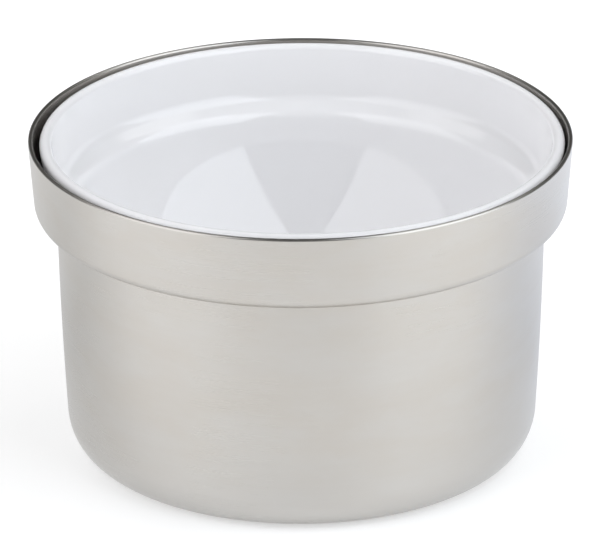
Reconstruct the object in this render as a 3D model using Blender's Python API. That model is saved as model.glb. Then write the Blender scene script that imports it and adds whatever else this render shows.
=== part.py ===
"""Soup kettle: a glazed white liner that hangs in a stainless steel pot with a stepped collar.

The pot is drawn with a flange. It hangs by that flange in a spun collar, and the crisp line
round the outside is where the collar's lip meets the pot's wall. A soft seat ring lies on the
flange, and the liner's step rests on the ring, with an air jacket below it. The liner lifts
straight out, and then the ring does. The collar's flat shoulder also hangs the whole kettle
in the round opening of a hot well.

Frame: +Z up, origin on the axis at the level of the face that the kettle stands on.
Every outline is a list of (radius, height) points, and every piece is one outline turned
round the Z axis.
"""

import math

import bmesh
import bpy
from mathutils import Matrix, Vector

# Driving dimensions, in metres.
RIM_RADIUS = 0.119  # the collar's outer radius at its top
HEIGHT = 0.1437
COLLAR_HEIGHT = 0.0339  # from the rim down to the shoulder's flat underside
POT_RADIUS = 0.1071  # outer radius just under the shoulder
STEEL = 0.0009
GAP = 0.0003  # kept between pieces that rest on each other

# Collar.
HEM_WIDTH = 0.0020  # the sheet is folded back on itself along the rim
HEM_DEPTH = 0.0065
SHOULDER_ROUND = 0.0059
SHOULDER_FLAT = 0.0037

# Pot.
FLANGE_WIDTH = 0.0050
POT_TAPER = 0.0029  # radius lost from the shoulder to the bottom corner
POT_BULGE = 0.0005  # how far the wall swells out, halfway down
CORNER_ACROSS = 0.0130
CORNER_UP = 0.0171
BASE_RING_RADIUS = 0.0780  # inside this the base is raised, so the kettle stands on a ring
BASE_SLOPE = 0.0060
BASE_RAISE = 0.0012

# Seat ring.
SEAT_WIDTH = 0.0075
SEAT_THICKNESS = 0.0015
SKIRT_DEPTH = 0.0060  # the ring's inner edge turns down inside the pot, which centres it
SKIRT_THICKNESS = 0.0012

# Liner.
LINER_RADIUS = 0.1148  # outer radius at the lip
LINER_BELOW_RIM = 0.0003
LINER_SHIFT = 0.0007  # the liner is loose on its ring, and lies this far to +X
LINER_DRAFT = 0.0030  # radius lost from the lip to the step
LIP_WIDTH = 0.0054
WALL_LEAN = math.radians(8)  # of the wall's inner face, which narrows downwards
STEP_ROUND = 0.0030
LEDGE_TOP_DEPTH = 0.0240  # below the rim, where the sloping ledge meets the wall
LEDGE_FOOT_DEPTH = 0.0297  # below the rim, where it meets the bowl
LEDGE_ROUND = 0.0070
BALL_START = 0.0045  # of the ball's first point below the ledge's foot
BOWL_RADIUS = 0.1003  # the lower part is a hollow ball
BOWL_CENTRE_DEPTH = 0.0128  # of the ball's centre below the rim
BOWL_WALL = 0.0048
FOOT_RADIUS = 0.0420
FOOT_WIDTH = 0.0060
FOOT_DEPTH = 0.0023  # of the foot's underside below the ball's lowest point

# Steps round the axis, and along the round stretches of an outline.
TURN_STEPS = 60
HEM_STEPS = 3
ROUND_STEPS = 4
WALL_STEPS = 3
CORNER_STEPS = 5
BOWL_STEPS = 9
SHARP_ANGLE = math.radians(35)
MERGE_DISTANCE = 1e-6

# Heights of the faces that the pieces rest on.
SHOULDER_Z = HEIGHT - COLLAR_HEIGHT
FLANGE_Z = SHOULDER_Z + STEEL + GAP
SEAT_Z = FLANGE_Z + STEEL + GAP
STEP_Z = SEAT_Z + SEAT_THICKNESS + GAP
LEDGE_TOP_Z = HEIGHT - LEDGE_TOP_DEPTH
LEDGE_FOOT_Z = HEIGHT - LEDGE_FOOT_DEPTH
BOWL_CENTRE_Z = HEIGHT - BOWL_CENTRE_DEPTH


def arc(centre, across, up, start, end, steps):
    """Points on an ellipse's arc from one angle to another, in degrees, where 90 is straight up."""
    points = []
    for step in range(steps + 1):
        angle = math.radians(start + (end - start) * step / steps)
        points.append((centre[0] + across * math.cos(angle), centre[1] + up * math.sin(angle)))
    return points


def bend(before, corner, after, rounding):
    """Points round a corner between two straight lines, with a given radius."""
    here = Vector(corner)
    back = (Vector(before) - here).normalized()
    ahead = (Vector(after) - here).normalized()
    half = back.angle(ahead) / 2
    reach = rounding / math.tan(half)
    centre = here + (back + ahead).normalized() * rounding / math.sin(half)
    start = here + back * reach - centre
    turn = start.angle_signed(here + ahead * reach - centre)
    points = []
    for step in range(ROUND_STEPS + 1):
        spoke = start.copy()
        spoke.rotate(Matrix.Rotation(-turn * step / ROUND_STEPS, 2))
        points.append((centre.x + spoke.x, centre.y + spoke.y))
    return points


def collar_profile():
    """The spun collar: a hemmed rim, a tapering band, a rounded shoulder and a flat lip."""
    lip_radius = POT_RADIUS + GAP
    hem = HEM_WIDTH / 2
    hem_centre = (RIM_RADIUS - hem, HEIGHT - hem)
    round_centre = (lip_radius + SHOULDER_FLAT, SHOULDER_Z + SHOULDER_ROUND)
    inner_round = SHOULDER_ROUND - STEEL
    taper = (RIM_RADIUS - round_centre[0] - SHOULDER_ROUND) / (hem_centre[1] - round_centre[1])
    hem_end_radius = RIM_RADIUS - taper * HEM_DEPTH
    hem_end_z = HEIGHT - HEM_DEPTH

    outside = arc(hem_centre, hem, hem, 90, 0, HEM_STEPS)
    outside += arc(round_centre, SHOULDER_ROUND, SHOULDER_ROUND, 0, -90, ROUND_STEPS)
    outside += [(lip_radius, SHOULDER_Z)]
    inside = [(lip_radius, SHOULDER_Z + STEEL)]
    inside += arc(round_centre, inner_round, inner_round, -90, 0, ROUND_STEPS)
    inside += [(hem_end_radius - STEEL, hem_end_z), (hem_end_radius - HEM_WIDTH, hem_end_z)]
    inside += arc(hem_centre, hem, hem, 180, 90, HEM_STEPS)[:-1]
    return outside + inside


def pot_wall(inset):
    """The pot's slightly swollen wall, from the shoulder down to the bottom corner."""
    points = []
    for step in range(WALL_STEPS):
        down = step / WALL_STEPS
        bulge = POT_BULGE * 4 * down * (1 - down)
        radius = POT_RADIUS - POT_TAPER * down + bulge
        points.append((radius - inset, SHOULDER_Z + (CORNER_UP - SHOULDER_Z) * down))
    return points


def pot_profile():
    """The drawn pot: a flange, a tapering wall, a rounded bottom corner and a raised base."""
    flange_radius = POT_RADIUS + FLANGE_WIDTH
    corner_centre = (POT_RADIUS - POT_TAPER - CORNER_ACROSS, CORNER_UP)
    raised_radius = BASE_RING_RADIUS - BASE_SLOPE

    outside = [(flange_radius, FLANGE_Z), (POT_RADIUS, FLANGE_Z)]
    outside += pot_wall(0)
    outside += arc(corner_centre, CORNER_ACROSS, CORNER_UP, 0, -90, CORNER_STEPS)
    outside += [(BASE_RING_RADIUS, 0), (raised_radius, BASE_RAISE), (0, BASE_RAISE)]
    inside = [(0, BASE_RAISE + STEEL), (raised_radius, BASE_RAISE + STEEL), (BASE_RING_RADIUS, STEEL)]
    inside += arc(corner_centre, CORNER_ACROSS - STEEL, CORNER_UP - STEEL, -90, 0, CORNER_STEPS)
    inside += pot_wall(STEEL)[::-1]
    inside += [(POT_RADIUS - STEEL, FLANGE_Z + STEEL), (flange_radius, FLANGE_Z + STEEL)]
    return outside + inside


def seat_ring_profile():
    """The seat ring: a flat band whose inner edge turns down inside the pot."""
    skirt_outer = POT_RADIUS - STEEL - GAP
    skirt_inner = skirt_outer - SKIRT_THICKNESS
    band_outer = skirt_inner + SEAT_WIDTH
    band_top = SEAT_Z + SEAT_THICKNESS
    band = [(skirt_inner, band_top), (band_outer, band_top), (band_outer, SEAT_Z), (skirt_outer, SEAT_Z)]
    skirt = [(skirt_outer, SEAT_Z - SKIRT_DEPTH), (skirt_inner, SEAT_Z - SKIRT_DEPTH)]
    return band + skirt


def ball_angle(radius, height):
    """The angle, in degrees, at which a ball of the bowl's centre reaches a height."""
    return math.degrees(math.asin((height - BOWL_CENTRE_Z) / radius))


def ball_height(radius, at_radius):
    """The height of the underside of a ball of the bowl's centre, at a distance from the axis."""
    return BOWL_CENTRE_Z - math.sqrt(radius**2 - at_radius**2)


def liner_profile():
    """The liner: a crowned lip, a step that hangs it, and a ball-shaped bowl on a foot ring."""
    lip = LIP_WIDTH / 2
    lip_centre = (LINER_RADIUS - lip, HEIGHT - LINER_BELOW_RIM - lip)
    step_round = (LINER_RADIUS - LINER_DRAFT - STEP_ROUND, STEP_Z + STEP_ROUND)
    outer_ball = BOWL_RADIUS + BOWL_WALL
    bowl_centre = (0, BOWL_CENTRE_Z)
    foot_bottom = BOWL_CENTRE_Z - outer_ball - FOOT_DEPTH
    foot_inner = FOOT_RADIUS - FOOT_WIDTH
    foot_outer_top = ball_height(outer_ball, FOOT_RADIUS)
    foot_inner_top = ball_height(outer_ball, foot_inner)
    step_angle = ball_angle(outer_ball, STEP_Z)
    foot_outer_angle = ball_angle(outer_ball, foot_outer_top)
    foot_inner_angle = ball_angle(outer_ball, foot_inner_top)

    ball_top = ball_angle(BOWL_RADIUS, LEDGE_FOOT_Z - BALL_START)
    ledge_foot = (math.sqrt(BOWL_RADIUS**2 - (BOWL_CENTRE_Z - LEDGE_FOOT_Z)**2), LEDGE_FOOT_Z)

    # The leaning wall starts where it touches the lip's round.
    wall_top = (lip_centre[0] - lip * math.cos(WALL_LEAN), lip_centre[1] + lip * math.sin(WALL_LEAN))
    ledge_top = (wall_top[0] - (wall_top[1] - LEDGE_TOP_Z) * math.tan(WALL_LEAN), LEDGE_TOP_Z)

    outside = arc(lip_centre, lip, lip, 90, 0, ROUND_STEPS)
    outside += arc(step_round, STEP_ROUND, STEP_ROUND, 0, -90, HEM_STEPS)
    outside += arc(bowl_centre, outer_ball, outer_ball, step_angle, foot_outer_angle, BOWL_STEPS)
    outside += [(FOOT_RADIUS, foot_bottom), (foot_inner, foot_bottom)]
    outside += arc(bowl_centre, outer_ball, outer_ball, foot_inner_angle, -90, HEM_STEPS)
    inside = arc(bowl_centre, BOWL_RADIUS, BOWL_RADIUS, -90, ball_top, BOWL_STEPS)
    inside += bend(inside[-1], ledge_foot, ledge_top, LEDGE_ROUND)
    inside += bend(ledge_foot, ledge_top, wall_top, LEDGE_ROUND)
    inside += arc(lip_centre, lip, lip, 180 - math.degrees(WALL_LEAN), 90, ROUND_STEPS)[:-1]
    return outside + inside


def turned(name, profile, surface):
    """A closed solid: an outline turned once round the Z axis."""
    solid = bmesh.new()
    verts = [solid.verts.new((radius, 0, height)) for radius, height in profile]
    edges = [solid.edges.new(ends) for ends in zip(verts, verts[1:] + verts[:1])]
    bmesh.ops.spin(
        solid,
        geom=verts + edges,
        cent=(0, 0, 0),
        axis=(0, 0, 1),
        angle=math.tau,
        steps=TURN_STEPS,
        use_merge=True,
    )
    bmesh.ops.remove_doubles(solid, verts=solid.verts, dist=MERGE_DISTANCE)
    loose = [edge for edge in solid.edges if not edge.link_faces]
    bmesh.ops.delete(solid, geom=loose, context="EDGES")
    bmesh.ops.recalc_face_normals(solid, faces=solid.faces)

    mesh = bpy.data.meshes.new(name)
    solid.to_mesh(mesh)
    solid.free()
    mesh.shade_smooth()
    mesh.set_sharp_from_angle(angle=SHARP_ANGLE)
    mesh.materials.append(surface)
    piece = bpy.data.objects.new(name, mesh)
    bpy.context.scene.collection.objects.link(piece)
    return piece


def finish(name, colour, roughness, metallic=0.0):
    """A Principled material."""
    surface = bpy.data.materials.new(name)
    surface.use_nodes = True
    shader = surface.node_tree.nodes["Principled BSDF"]
    shader.inputs["Base Color"].default_value = (*colour, 1)
    shader.inputs["Roughness"].default_value = roughness
    shader.inputs["Metallic"].default_value = metallic
    return surface


def main():
    for leftover in list(bpy.data.objects):
        bpy.data.objects.remove(leftover)
    steel = finish("satin_steel", (0.62, 0.60, 0.57), 0.3, metallic=1.0)
    silicone = finish("grey_silicone", (0.30, 0.30, 0.30), 0.7)
    glaze = finish("white_glaze", (0.82, 0.83, 0.84), 0.08)
    turned("pot", pot_profile(), steel)
    turned("collar", collar_profile(), steel)
    turned("seat_ring", seat_ring_profile(), silicone)
    liner = turned("liner", liner_profile(), glaze)
    liner.location.x = LINER_SHIFT


main()
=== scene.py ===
"""Looks of the soup kettle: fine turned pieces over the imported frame, their materials, and a light tent.

Every piece is an outline of (radius, height) points turned round the kettle's axis. Main sizes
come from the frame's boxes, and the rest are named below, in metres.
"""

import math

import bmesh
import bpy
from mathutils import Matrix, Quaternion, Vector


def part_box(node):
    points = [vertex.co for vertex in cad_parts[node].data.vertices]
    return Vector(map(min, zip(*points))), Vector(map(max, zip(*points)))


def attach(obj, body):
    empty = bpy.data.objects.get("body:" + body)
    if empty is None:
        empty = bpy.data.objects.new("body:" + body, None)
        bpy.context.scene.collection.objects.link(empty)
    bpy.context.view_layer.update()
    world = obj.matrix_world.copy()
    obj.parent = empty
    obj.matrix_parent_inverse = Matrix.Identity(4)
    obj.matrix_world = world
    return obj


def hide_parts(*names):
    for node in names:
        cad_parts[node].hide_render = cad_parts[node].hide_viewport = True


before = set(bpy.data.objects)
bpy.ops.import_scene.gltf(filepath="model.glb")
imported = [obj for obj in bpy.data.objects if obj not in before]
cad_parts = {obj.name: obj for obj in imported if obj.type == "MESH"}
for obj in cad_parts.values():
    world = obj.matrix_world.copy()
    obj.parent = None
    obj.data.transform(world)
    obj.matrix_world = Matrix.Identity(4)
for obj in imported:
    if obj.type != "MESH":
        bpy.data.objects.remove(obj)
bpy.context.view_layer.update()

collar_low, collar_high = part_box("collar")
pot_low, pot_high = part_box("pot")
seat_low, seat_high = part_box("seat_ring")
liner_low, liner_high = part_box("liner")

# Sizes read from the frame.
RIM_RADIUS = collar_high.x
HEIGHT = collar_high.z
SHOULDER_Z = collar_low.z
FLANGE_RADIUS = pot_high.x
FLANGE_TOP = pot_high.z
SEAT_RADIUS = seat_high.x
SEAT_TOP = seat_high.z
SKIRT_Z = seat_low.z
LINER_RADIUS = liner_high.y
LINER_TOP = liner_high.z
LINER_CENTRE = (liner_low.x + liner_high.x) / 2
FOOT_Z = liner_low.z

# Sheet steel.
STEEL = 0.0009
GAP = 0.0003
POT_RADIUS = 0.1071
HEM_WIDTH = 0.0020
HEM_DEPTH = 0.0065
SHOULDER_ROUND = 0.0059
SHOULDER_FLAT = 0.0037
POT_TAPER = 0.0029
POT_BULGE = 0.0005
CORNER_ACROSS = 0.0130
CORNER_UP = 0.0171
BASE_RING_RADIUS = 0.0780
BASE_SLOPE = 0.0060
BASE_RAISE = 0.0012
CUT_EDGE = 0.0002  # rounding of a sheet's cut edge
BASE_BEND = 0.0015

# Seat ring.
SEAT_THICKNESS = 0.0015
SKIRT_THICKNESS = 0.0012
SEAT_ROUND = 0.0004

# Liner.
LIP_WIDTH = 0.0054
LINER_DRAFT = 0.0030  # radius lost from the lip to the step, outside
WALL_LEAN = math.radians(8)  # of the inner wall
STEP_Z = SEAT_TOP + GAP
LEDGE_TOP_DEPTH = 0.0240  # below the rim, where the sloping ledge meets the wall
LEDGE_TOP_Z = HEIGHT - LEDGE_TOP_DEPTH
LEDGE_FOOT_DEPTH = 0.0297  # below the rim, where it meets the bowl
LEDGE_FOOT_Z = HEIGHT - LEDGE_FOOT_DEPTH
STEP_ROUND = 0.0030
STEP_FILLET = 0.0008
LEDGE_ROUND = 0.0070
BALL_START = 0.0045  # of the ball's first point below the ledge's foot
BOWL_RADIUS = 0.1003
BOWL_CENTRE_DEPTH = 0.0128  # of the ball's centre below the rim
BOWL_CENTRE_Z = HEIGHT - BOWL_CENTRE_DEPTH
BOWL_WALL = 0.0048
FOOT_RADIUS = 0.0420
FOOT_WIDTH = 0.0060
FOOT_ROUND = 0.0010
FOOT_FILLET = 0.0020

# Fineness of the turned meshes.
TURN_STEPS = 288
ARC_DEGREES = 6
BALL_DEGREES = 1.5
WALL_STEPS = 24
SHARP_ANGLE = math.radians(40)
MERGE_DISTANCE = 1e-6


# Outlines.

def arc(centre, across, up, start, end, degrees=ARC_DEGREES):
    """Points on an ellipse's arc from one angle to another, in degrees, where 90 is straight up."""
    steps = max(2, round(abs(end - start) / degrees))
    points = []
    for step in range(steps + 1):
        angle = math.radians(start + (end - start) * step / steps)
        points.append((centre[0] + across * math.cos(angle), centre[1] + up * math.sin(angle)))
    return points


def rounded(outline):
    """A closed outline with its rounded corners drawn: a point (radius, height, rounding) is one."""
    points = []
    for i, corner in enumerate(outline):
        here = Vector(corner[:2])
        if len(corner) == 2:
            points.append((here.x, here.y))
            continue
        before = (Vector(outline[i - 1][:2]) - here).normalized()
        after = (Vector(outline[(i + 1) % len(outline)][:2]) - here).normalized()
        half = before.angle(after) / 2
        reach = corner[2] / math.tan(half)
        centre = here + (before + after).normalized() * corner[2] / math.sin(half)
        start = here + before * reach - centre
        turn = start.angle_signed(here + after * reach - centre)
        steps = max(2, round(math.degrees(abs(turn)) / (2 * ARC_DEGREES)))
        for step in range(steps + 1):
            spoke = start.copy()
            spoke.rotate(Matrix.Rotation(-turn * step / steps, 2))
            points.append((centre.x + spoke.x, centre.y + spoke.y))
    return points


def collar_outline():
    """The collar with its rim folded inwards, so that a slit shows between the two layers."""
    lip_radius = POT_RADIUS + GAP
    hem = HEM_WIDTH / 2
    hem_centre = (RIM_RADIUS - hem, HEIGHT - hem)
    round_centre = (lip_radius + SHOULDER_FLAT, SHOULDER_Z + SHOULDER_ROUND)
    inner_round = SHOULDER_ROUND - STEEL
    taper = (RIM_RADIUS - round_centre[0] - SHOULDER_ROUND) / (hem_centre[1] - round_centre[1])
    lean = math.degrees(math.atan(taper))
    slit = HEM_WIDTH - 2 * STEEL
    fold_z = HEIGHT - HEM_DEPTH
    fold_radius = RIM_RADIUS - taper * (HEM_DEPTH - hem)

    points = arc(hem_centre, hem, hem, 90, -lean)
    points += arc(round_centre, SHOULDER_ROUND, SHOULDER_ROUND, -lean, -90)
    points += [(lip_radius, SHOULDER_Z, CUT_EDGE), (lip_radius, SHOULDER_Z + STEEL, CUT_EDGE)]
    points += arc(round_centre, inner_round, inner_round, -90, -lean)
    points += arc(hem_centre, slit / 2, slit / 2, 0, 180, 4 * ARC_DEGREES)
    points += [(fold_radius - STEEL - slit, fold_z, CUT_EDGE)]
    points += [(fold_radius - HEM_WIDTH, fold_z, CUT_EDGE)]
    points += arc(hem_centre, hem, hem, 180 - lean, 90)[:-1]
    return rounded(points)


def pot_wall(inset):
    """The pot's slightly swollen wall, from the shoulder down to the bottom corner."""
    points = []
    for step in range(WALL_STEPS):
        down = step / WALL_STEPS
        bulge = POT_BULGE * 4 * down * (1 - down)
        radius = POT_RADIUS - POT_TAPER * down + bulge
        points.append((radius - inset, SHOULDER_Z + (CORNER_UP - SHOULDER_Z) * down))
    return points


def pot_outline():
    """The pot: a flange, the wall, a rounded bottom corner and a raised base."""
    flange_z = FLANGE_TOP - STEEL
    corner_centre = (POT_RADIUS - POT_TAPER - CORNER_ACROSS, CORNER_UP)
    raised_radius = BASE_RING_RADIUS - BASE_SLOPE
    points = [(FLANGE_RADIUS, flange_z, CUT_EDGE), (POT_RADIUS, flange_z, CUT_EDGE)]
    points += pot_wall(0)
    points += arc(corner_centre, CORNER_ACROSS, CORNER_UP, 0, -90)
    points += [(BASE_RING_RADIUS, 0, BASE_BEND), (raised_radius, BASE_RAISE, BASE_BEND), (0, BASE_RAISE)]
    points += [(0, BASE_RAISE + STEEL), (raised_radius, BASE_RAISE + STEEL, BASE_BEND)]
    points += [(BASE_RING_RADIUS, STEEL, BASE_BEND)]
    points += arc(corner_centre, CORNER_ACROSS - STEEL, CORNER_UP - STEEL, -90, 0)
    points += pot_wall(STEEL)[::-1]
    points += [(POT_RADIUS - STEEL, FLANGE_TOP, CUT_EDGE), (FLANGE_RADIUS, FLANGE_TOP, CUT_EDGE)]
    return rounded(points)


def seat_ring_outline():
    """The seat ring: a flat band whose inner edge turns down inside the pot."""
    skirt_outer = POT_RADIUS - STEEL - GAP
    skirt_inner = skirt_outer - SKIRT_THICKNESS
    band_z = SEAT_TOP - SEAT_THICKNESS
    return rounded([
        (skirt_inner, SEAT_TOP, SEAT_ROUND),
        (SEAT_RADIUS, SEAT_TOP, SEAT_ROUND),
        (SEAT_RADIUS, band_z, SEAT_ROUND),
        (skirt_outer, band_z, SEAT_ROUND / 2),
        (skirt_outer, SKIRT_Z, SEAT_ROUND),
        (skirt_inner, SKIRT_Z, SEAT_ROUND),
    ])


def ball_angle(radius, height):
    """The angle, in degrees, at which a ball of the bowl's centre reaches a height."""
    return math.degrees(math.asin((height - BOWL_CENTRE_Z) / radius))


def ball_height(radius, at_radius):
    """The height of the underside of a ball of the bowl's centre, at a distance from the axis."""
    return BOWL_CENTRE_Z - math.sqrt(radius**2 - at_radius**2)


def liner_outline():
    """The liner: a crowned lip, a step that hangs it, and a ball-shaped bowl on a foot ring."""
    lip = LIP_WIDTH / 2
    lip_centre = (LINER_RADIUS - lip, LINER_TOP - lip)
    step_round = (LINER_RADIUS - LINER_DRAFT - STEP_ROUND, STEP_Z + STEP_ROUND)
    outer_ball = BOWL_RADIUS + BOWL_WALL
    bowl_centre = (0, BOWL_CENTRE_Z)
    foot_inner = FOOT_RADIUS - FOOT_WIDTH
    foot_outer_top = ball_height(outer_ball, FOOT_RADIUS)
    foot_inner_top = ball_height(outer_ball, foot_inner)
    step_angle = ball_angle(outer_ball, STEP_Z)
    foot_outer_angle = ball_angle(outer_ball, foot_outer_top)
    foot_inner_angle = ball_angle(outer_ball, foot_inner_top)
    ball_top = ball_angle(BOWL_RADIUS, LEDGE_FOOT_Z - BALL_START)
    ledge_foot_radius = math.sqrt(BOWL_RADIUS**2 - (BOWL_CENTRE_Z - LEDGE_FOOT_Z)**2)

    # The leaning wall starts where it touches the lip's round.
    wall_top = (lip_centre[0] - lip * math.cos(WALL_LEAN), lip_centre[1] + lip * math.sin(WALL_LEAN))
    ledge_radius = wall_top[0] - (wall_top[1] - LEDGE_TOP_Z) * math.tan(WALL_LEAN)

    points = arc(lip_centre, lip, lip, 90, 0)
    points += arc(step_round, STEP_ROUND, STEP_ROUND, 0, -90)
    ball = arc(bowl_centre, outer_ball, outer_ball, step_angle, foot_outer_angle, BALL_DEGREES)
    points += [(*ball[0], STEP_FILLET)] + ball[1:-1] + [(*ball[-1], FOOT_FILLET)]
    points += [(FOOT_RADIUS, FOOT_Z, FOOT_ROUND), (foot_inner, FOOT_Z, FOOT_ROUND)]
    under = arc(bowl_centre, outer_ball, outer_ball, foot_inner_angle, -90, BALL_DEGREES)
    points += [(*under[0], FOOT_FILLET)] + under[1:]
    points += arc(bowl_centre, BOWL_RADIUS, BOWL_RADIUS, -90, ball_top, BALL_DEGREES)
    points += [(ledge_foot_radius, LEDGE_FOOT_Z, LEDGE_ROUND), (ledge_radius, LEDGE_TOP_Z, LEDGE_ROUND)]
    points += arc(lip_centre, lip, lip, 180 - math.degrees(WALL_LEAN), 90)[:-1]
    return rounded(points)


def turned(name, outline, surface):
    """A closed mesh: an outline turned once round the Z axis."""
    solid = bmesh.new()
    verts = [solid.verts.new((radius, 0, height)) for radius, height in outline]
    edges = [solid.edges.new(ends) for ends in zip(verts, verts[1:] + verts[:1])]
    bmesh.ops.spin(
        solid,
        geom=verts + edges,
        cent=(0, 0, 0),
        axis=(0, 0, 1),
        angle=math.tau,
        steps=TURN_STEPS,
        use_merge=True,
    )
    bmesh.ops.remove_doubles(solid, verts=solid.verts, dist=MERGE_DISTANCE)
    loose = [edge for edge in solid.edges if not edge.link_faces]
    bmesh.ops.delete(solid, geom=loose, context="EDGES")
    bmesh.ops.recalc_face_normals(solid, faces=solid.faces)

    mesh = bpy.data.meshes.new(name)
    solid.to_mesh(mesh)
    solid.free()
    mesh.shade_smooth()
    mesh.set_sharp_from_angle(angle=SHARP_ANGLE)
    mesh.materials.append(surface)
    piece = bpy.data.objects.new(name, mesh)
    bpy.context.scene.collection.objects.link(piece)
    return piece


# Materials. A grain is in cells a metre: along the brushing in x and y, and across it in z.

STEEL_COOL = (0.556, 0.536, 0.507)
STEEL_WARM = (0.547, 0.520, 0.483)
STEEL_BOTTOM_PAINTED_REFLECTION = (0.556, 0.545, 0.527)  # painted reflection: the bottom corner drawn lighter and cooler than the rest of the steel
STEEL_STREAK = (0.42, 0.40, 0.37)
HAIR_GRAIN = (12, 12, 4200)
STREAK_GRAIN = (5, 5, 700)
HAIR_HEIGHT = 0.0000015
STREAK_HEIGHT = 0.0000012
MOTTLE_STRETCH = (1, 1, 2.5)
GLAZE_PALE = (0.724, 0.721, 0.733)
GLAZE_DEEP = (0.716, 0.712, 0.722)
BARE_WARE = (0.70, 0.67, 0.62)
SILICONE_GREY = (0.27, 0.27, 0.275)
SILICONE_DUST = (0.40, 0.395, 0.385)


class Surface:
    """A Principled material, with short calls that add a node and join it up."""

    def __init__(self, name):
        self.material = bpy.data.materials.new(name)
        self.material.use_nodes = True
        self.tree = self.material.node_tree
        self.shader = self.tree.nodes["Principled BSDF"]

    def set(self, **values):
        """Sets the shader's own sockets, named with underscores, or joins an output to them."""
        for name, value in values.items():
            self.feed(self.shader.inputs[name.replace("_", " ")], value)

    def feed(self, socket, value):
        if isinstance(value, bpy.types.NodeSocket):
            self.tree.links.new(value, socket)
        elif isinstance(value, tuple) and socket.type == "RGBA":
            socket.default_value = (*value, 1)
        else:
            socket.default_value = value

    def add(self, kind, *values, **properties):
        """A node with its first inputs fed in order. Returns the node."""
        made = self.tree.nodes.new("ShaderNode" + kind)
        for name, value in properties.items():
            setattr(made, name, value)
        for socket, value in zip(made.inputs, values):
            self.feed(socket, value)
        return made

    def place(self):
        return self.add("TexCoord").outputs["Object"]

    def scaled(self, vector, scale):
        return self.add("VectorMath", vector, scale, operation="MULTIPLY").outputs[0]

    def noise(self, vector, scale, detail=2.0, roughness=0.5):
        made = self.add("TexNoise", vector)
        made.inputs["Scale"].default_value = scale
        made.inputs["Detail"].default_value = detail
        made.inputs["Roughness"].default_value = roughness
        return made.outputs["Fac"]

    def ranged(self, value, low, high, to_low, to_high):
        """A value from one range to another, held inside it."""
        return self.add("MapRange", value, low, high, to_low, to_high).outputs[0]

    def times(self, a, b):
        return self.add("Math", a, b, operation="MULTIPLY").outputs[0]

    def plus(self, a, b):
        return self.add("Math", a, b, operation="ADD").outputs[0]

    def blend(self, share, a, b):
        """Colour a where share is 0, and b where it is 1."""
        made = self.add("Mix", data_type="RGBA")
        self.feed(made.inputs["Factor"], share)
        self.feed(made.inputs[6], a)
        self.feed(made.inputs[7], b)
        return made.outputs[2]

    def bump(self, height, distance, strength=1.0, normal=None):
        made = self.add("Bump")
        self.feed(made.inputs["Strength"], strength)
        self.feed(made.inputs["Distance"], distance)
        self.feed(made.inputs["Height"], height)
        if normal is not None:
            self.feed(made.inputs["Normal"], normal)
        return made.outputs[0]

    def grain(self):
        """Coordinates that run round the axis in x and y, and across the outline in z."""
        place = self.place()
        split = self.add("SeparateXYZ", place)
        flat = self.scaled(place, (1, 1, 0))
        radius = self.add("VectorMath", flat, operation="LENGTH").outputs["Value"]
        across = self.plus(split.outputs["Z"], radius)
        return self.add("CombineXYZ", split.outputs["X"], split.outputs["Y"], across).outputs[0]


def brushed_steel():
    """Satin stainless steel, brushed round the axis, with faint warm mottling, handling marks, and a
    painted reflection that makes the bottom corner lighter and cooler.
    """
    s = Surface("satin_steel")
    grain = s.grain()
    hair = s.noise(s.scaled(grain, HAIR_GRAIN), 1.0, detail=2)
    streak = s.noise(s.scaled(grain, STREAK_GRAIN), 1.0, detail=2)
    mottle = s.noise(s.scaled(s.place(), MOTTLE_STRETCH), 26, detail=4, roughness=0.6)
    smear = s.noise(s.place(), 9, detail=4, roughness=0.6)
    height = s.add("SeparateXYZ", s.place()).outputs["Z"]
    tint = s.blend(s.ranged(mottle, 0.38, 0.62, 0, 1), STEEL_COOL, STEEL_WARM)
    # Painted reflection: towards the bottom the steel turns lighter and cooler.
    tint = s.blend(s.ranged(height, 0.002, 0.040, 0.8, 0), tint, STEEL_BOTTOM_PAINTED_REFLECTION)
    s.set(
        Base_Color=s.blend(s.ranged(streak, 0.3, 0.7, 0.0, 0.03), tint, STEEL_STREAK),
        Metallic=1.0,
        Anisotropic=0.55,
        Anisotropic_Rotation=0.25,
        Tangent=s.add("Tangent", direction_type="RADIAL", axis="Z").outputs[0],
        Roughness=s.plus(
            s.ranged(hair, 0.3, 0.7, 0.27, 0.30),
            s.ranged(smear, 0.45, 0.75, 0.0, 0.04),
        ),
        Normal=s.bump(hair, HAIR_HEIGHT, 0.5, s.bump(streak, STREAK_HEIGHT, 0.4)),
    )
    return s.material


def glaze():
    """Glossy white glaze with a slight ripple, and bare, rough ware under the foot ring."""
    s = Surface("white_glaze")
    ripple = s.noise(s.place(), 45, detail=1)
    speck = s.noise(s.place(), 600, detail=2)
    cloud = s.noise(s.place(), 14, detail=3)
    height = s.add("SeparateXYZ", s.place()).outputs["Z"]
    bare = s.ranged(height, FOOT_Z + FOOT_ROUND * 0.6, FOOT_Z + FOOT_ROUND * 0.9, 1, 0)
    white = s.blend(s.ranged(cloud, 0.35, 0.65, 0, 1), GLAZE_PALE, GLAZE_DEEP)
    s.set(
        Base_Color=s.blend(bare, white, BARE_WARE),
        Roughness=s.plus(s.ranged(cloud, 0.3, 0.7, 0.03, 0.06), s.times(bare, 0.7)),
        IOR=1.62,
        Normal=s.bump(ripple, 0.00004, 0.5, s.bump(s.times(speck, bare), 0.0002, 0.6)),
    )
    return s.material


def silicone():
    """Matte grey silicone with a moulded grain and a little dust."""
    s = Surface("grey_silicone")
    grain = s.noise(s.place(), 900, detail=2)
    dust = s.noise(s.place(), 60, detail=4)
    s.set(
        Base_Color=s.blend(s.ranged(dust, 0.5, 0.75, 0, 0.35), SILICONE_GREY, SILICONE_DUST),
        Roughness=s.ranged(dust, 0.3, 0.7, 0.55, 0.75),
        Sheen_Weight=0.1,
        Normal=s.bump(grain, 0.00003, 0.5),
    )
    return s.material


# The kettle.

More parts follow.
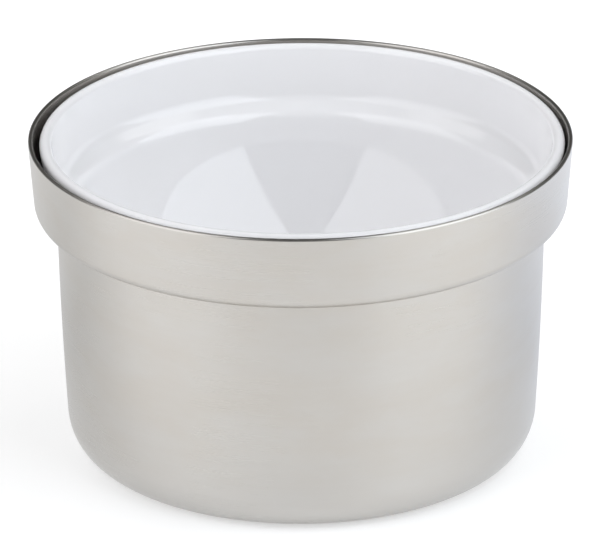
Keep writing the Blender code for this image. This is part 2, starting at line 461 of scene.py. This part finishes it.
def add_pieces():
    steel = brushed_steel()
    rows = [
        ("collar_sheet", collar_outline(), steel, "collar", "shell", "satin_steel"),
        ("pot_sheet", pot_outline(), steel, "pot", "shell", "satin_steel"),
        ("seat_ring_moulding", seat_ring_outline(), silicone(), "seat_ring", "seat_ring", "silicone"),
        ("liner_ware", liner_outline(), glaze(), "liner", "liner", "white_glaze"),
    ]
    for name, outline, surface, node, body, slot in rows:
        piece = turned(name, outline, surface)
        if node == "liner":
            piece.data.transform(Matrix.Translation((LINER_CENTRE, 0, 0)))
        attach(piece, body)
        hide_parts(node)


# Floor, light and camera. A front panel's inner edge leans, so its foot and its top differ in x.

CAMERA_DISTANCE = 2.38
CAMERA_ELEVATION = math.radians(21.78)
CAMERA_SIDE = -0.0005
CAMERA_ROLL = math.radians(-0.3)
CAMERA_LENS = 326.8
AIM_HEIGHT = 0.0774
RIGHT_FOOT_X = 0.692
RIGHT_TOP_X = 0.243
LEFT_FOOT_X = -0.769
LEFT_TOP_X = -0.359
PANEL_Y = -1.0
FILL_Y = -1.1  # apart from the panels, because lights in one plane dim each other
FRONT_FOOT_Z = 0.05
FRONT_TOP_Z = 1.90
FRONT_WIDTH = 1.6
BACK_Y = 1.8
BACK_FOOT_Z = 0.1
BACK_TOP_Z = 1.7
BACK_WIDTH = 1.6
REAR_Y = 0.1
REAR_FOOT_X = 1.3
REAR_TOP_X = 0.55
REAR_FOOT_Z = 1.5
REAR_TOP_Z = 2.4
REAR_WIDTH = 1.3
TOP_Z = 2.2
TOP_WIDTH = 2.4
FLOOR_REACH = 6.0
FLOOR_GREY = (0.60, 0.60, 0.60)
FLOOR_GLOW = 0.42
FLOOR_GLOW_FAR = 1.05  # keeps the floor white behind the panels, where they light it less
CARD_REACH = 3.0
CARD_FRONT = -0.10
CARD_FULL = 0.07  # from here back the card is solid, and before it the card fades in
CARD_Z = 0.002
CARD_LEFT = (0.97, 0.98, 0.99)
CARD_RIGHT = (1.13, 1.18, 1.28)
CARD_GLOW = 0.76
CARD_GLOW_FAR = 1.04
ROOM_GLOW = 0.09
BACKDROP_GLOW = 1.05


def add_camera():
    camera = bpy.data.objects.new("camera", bpy.data.cameras.new("camera"))
    camera.data.sensor_width = 36
    camera.data.lens = CAMERA_LENS
    camera.data.clip_end = 50
    back = Vector((0, -math.cos(CAMERA_ELEVATION), math.sin(CAMERA_ELEVATION))) * CAMERA_DISTANCE
    camera.location = Vector((CAMERA_SIDE, 0, HEIGHT)) + back
    sight = Vector((CAMERA_SIDE, 0, AIM_HEIGHT)) - camera.location
    camera.rotation_mode = "QUATERNION"
    camera.rotation_quaternion = sight.to_track_quat("-Z", "Y") @ Quaternion((0, 0, 1), CAMERA_ROLL)
    bpy.context.scene.collection.objects.link(camera)
    bpy.context.scene.camera = camera


def add_panel(name, low, high, outward, width, radiance, colour=(1, 1, 1), reflected=True):
    """A soft panel whose one edge runs from low to high, and which spreads outward from that edge."""
    low, high = Vector(low), Vector(high)
    up = (high - low).normalized()
    across = Vector(outward)
    across = (across - across.dot(up) * up).normalized()
    height = (high - low).length
    centre = (low + high) / 2 + across * width / 2
    facing = across.cross(up)
    if facing.dot(centre) > 0:
        across, facing = -across, -facing
    light = bpy.data.lights.new(name, "AREA")
    light.shape = "RECTANGLE"
    light.size, light.size_y = width, height
    light.energy = radiance * math.pi * width * height
    light.color = colour
    panel = bpy.data.objects.new(name, light)
    turn = Matrix((across, up, -facing)).transposed().to_4x4()
    panel.matrix_world = Matrix.Translation(centre) @ turn
    panel.visible_camera = False
    panel.visible_glossy = reflected
    bpy.context.scene.collection.objects.link(panel)


def add_front_panel(name, foot_x, top_x, y, radiance, **looks):
    """A panel in front of the kettle, which spreads sideways and back from its leaning inner edge."""
    low = (foot_x, y, FRONT_FOOT_Z)
    high = (top_x, y, FRONT_TOP_Z)
    outward = (math.copysign(1, foot_x), 1, 0)
    add_panel(name, low, high, outward, FRONT_WIDTH, radiance, **looks)


def add_back_fill(name, side, radiance):
    """Half of a wide fill behind the kettle, on the side of -1 or 1 in x."""
    low = (0, BACK_Y, BACK_FOOT_Z)
    high = (0, BACK_Y, BACK_TOP_Z)
    add_panel(name, low, high, (side, -0.5, 0), BACK_WIDTH, radiance, reflected=False)


def add_rear_panel(name, side, radiance):
    """A high panel on one side behind the kettle, which brightens the back of the rim."""
    low = (side * REAR_FOOT_X, REAR_Y, REAR_FOOT_Z)
    high = (side * REAR_TOP_X, REAR_Y, REAR_TOP_Z)
    add_panel(name, low, high, (-0.1 * side, 1, 0), REAR_WIDTH, radiance)


def flat_sheet(name, reach, front, height):
    """A rectangle at one height, from front back to reach in y, and as far as reach to both sides."""
    near = [(-reach, front, height), (reach, front, height)]
    far = [(reach, reach, height), (-reach, reach, height)]
    mesh = bpy.data.meshes.new(name)
    mesh.from_pydata(near + far, [], [(0, 1, 2, 3)])
    sheet = bpy.data.objects.new(name, mesh)
    bpy.context.scene.collection.objects.link(sheet)
    return sheet


def add_floor():
    floor = flat_sheet("floor", FLOOR_REACH, -FLOOR_REACH, 0)
    s = Surface("pale_floor")
    away = s.add("VectorMath", s.place(), operation="LENGTH").outputs["Value"]
    s.set(
        Base_Color=FLOOR_GREY,
        Roughness=0.7,
        Emission_Color=(1, 1, 1),
        Emission_Strength=s.ranged(away, 0.7, 1.4, FLOOR_GLOW, FLOOR_GLOW_FAR),
    )
    floor.data.materials.append(s.material)


def add_card():
    """A grey card on the floor beside and behind the kettle, seen only in reflections.

    It darkens the steel towards both sides.
    """
    card = flat_sheet("grey_card", CARD_REACH, CARD_FRONT, CARD_Z)
    s = Surface("grey_card")
    split = s.add("SeparateXYZ", s.place())
    away = s.add("VectorMath", s.place(), operation="LENGTH").outputs["Value"]
    s.set(
        Base_Color=(0, 0, 0),
        Specular_IOR_Level=0.0,
        Emission_Color=s.blend(s.ranged(split.outputs["X"], -0.1, 0.1, 0, 1), CARD_LEFT, CARD_RIGHT),
        Emission_Strength=s.ranged(away, 0.20, 0.45, CARD_GLOW, CARD_GLOW_FAR),
        Alpha=s.ranged(split.outputs["Y"], CARD_FRONT, CARD_FULL, 0, 1),
    )
    s.material.cycles.emission_sampling = "NONE"
    card.data.materials.append(s.material)
    card.visible_camera = False
    card.visible_diffuse = False
    card.visible_shadow = False


def add_world():
    """White to the camera, and a dim room for light and reflections."""
    world = bpy.data.worlds.new("tent")
    bpy.context.scene.world = world
    world.use_nodes = True
    tree = world.node_tree
    room = tree.nodes["Background"]
    room.inputs["Color"].default_value = (1, 1, 1, 1)
    room.inputs["Strength"].default_value = ROOM_GLOW
    backdrop = tree.nodes.new("ShaderNodeBackground")
    backdrop.inputs["Color"].default_value = (1, 1, 1, 1)
    backdrop.inputs["Strength"].default_value = BACKDROP_GLOW
    ray = tree.nodes.new("ShaderNodeLightPath")
    mix = tree.nodes.new("ShaderNodeMixShader")
    tree.links.new(ray.outputs["Is Camera Ray"], mix.inputs[0])
    tree.links.new(room.outputs[0], mix.inputs[1])
    tree.links.new(backdrop.outputs[0], mix.inputs[2])
    tree.links.new(mix.outputs[0], tree.nodes["World Output"].inputs[0])


def add_lights():
    """Two panels that the kettle reflects, fills that it doesn't, and two high panels behind it."""
    right = (RIGHT_FOOT_X, RIGHT_TOP_X)
    left = (LEFT_FOOT_X, LEFT_TOP_X)
    add_front_panel("right_panel", *right, PANEL_Y, 1.92, colour=(0.94, 0.99, 1.04))
    add_front_panel("left_panel", *left, PANEL_Y, 1.49, colour=(0.98, 0.99, 1.02))
    add_front_panel("right_fill", *right, FILL_Y, 0.60, reflected=False)
    add_front_panel("left_fill", *left, FILL_Y, 1.05, reflected=False)
    top_low = (0, -TOP_WIDTH / 2, TOP_Z)
    top_high = (0, TOP_WIDTH / 2, TOP_Z)
    add_panel("top_fill", top_low, top_high, (1, 0, 0), TOP_WIDTH, 0.55, reflected=False)
    add_back_fill("back_fill_left", -1, 1.5)
    add_back_fill("back_fill_right", 1, 0.9)
    add_rear_panel("rear_left", -1, 1.0)
    add_rear_panel("rear_right", 1, 1.2)


def add_studio():
    bpy.context.scene.view_settings.view_transform = "Standard"
    add_world()
    add_floor()
    add_card()
    add_lights()
    add_camera()


add_pieces()
add_studio()
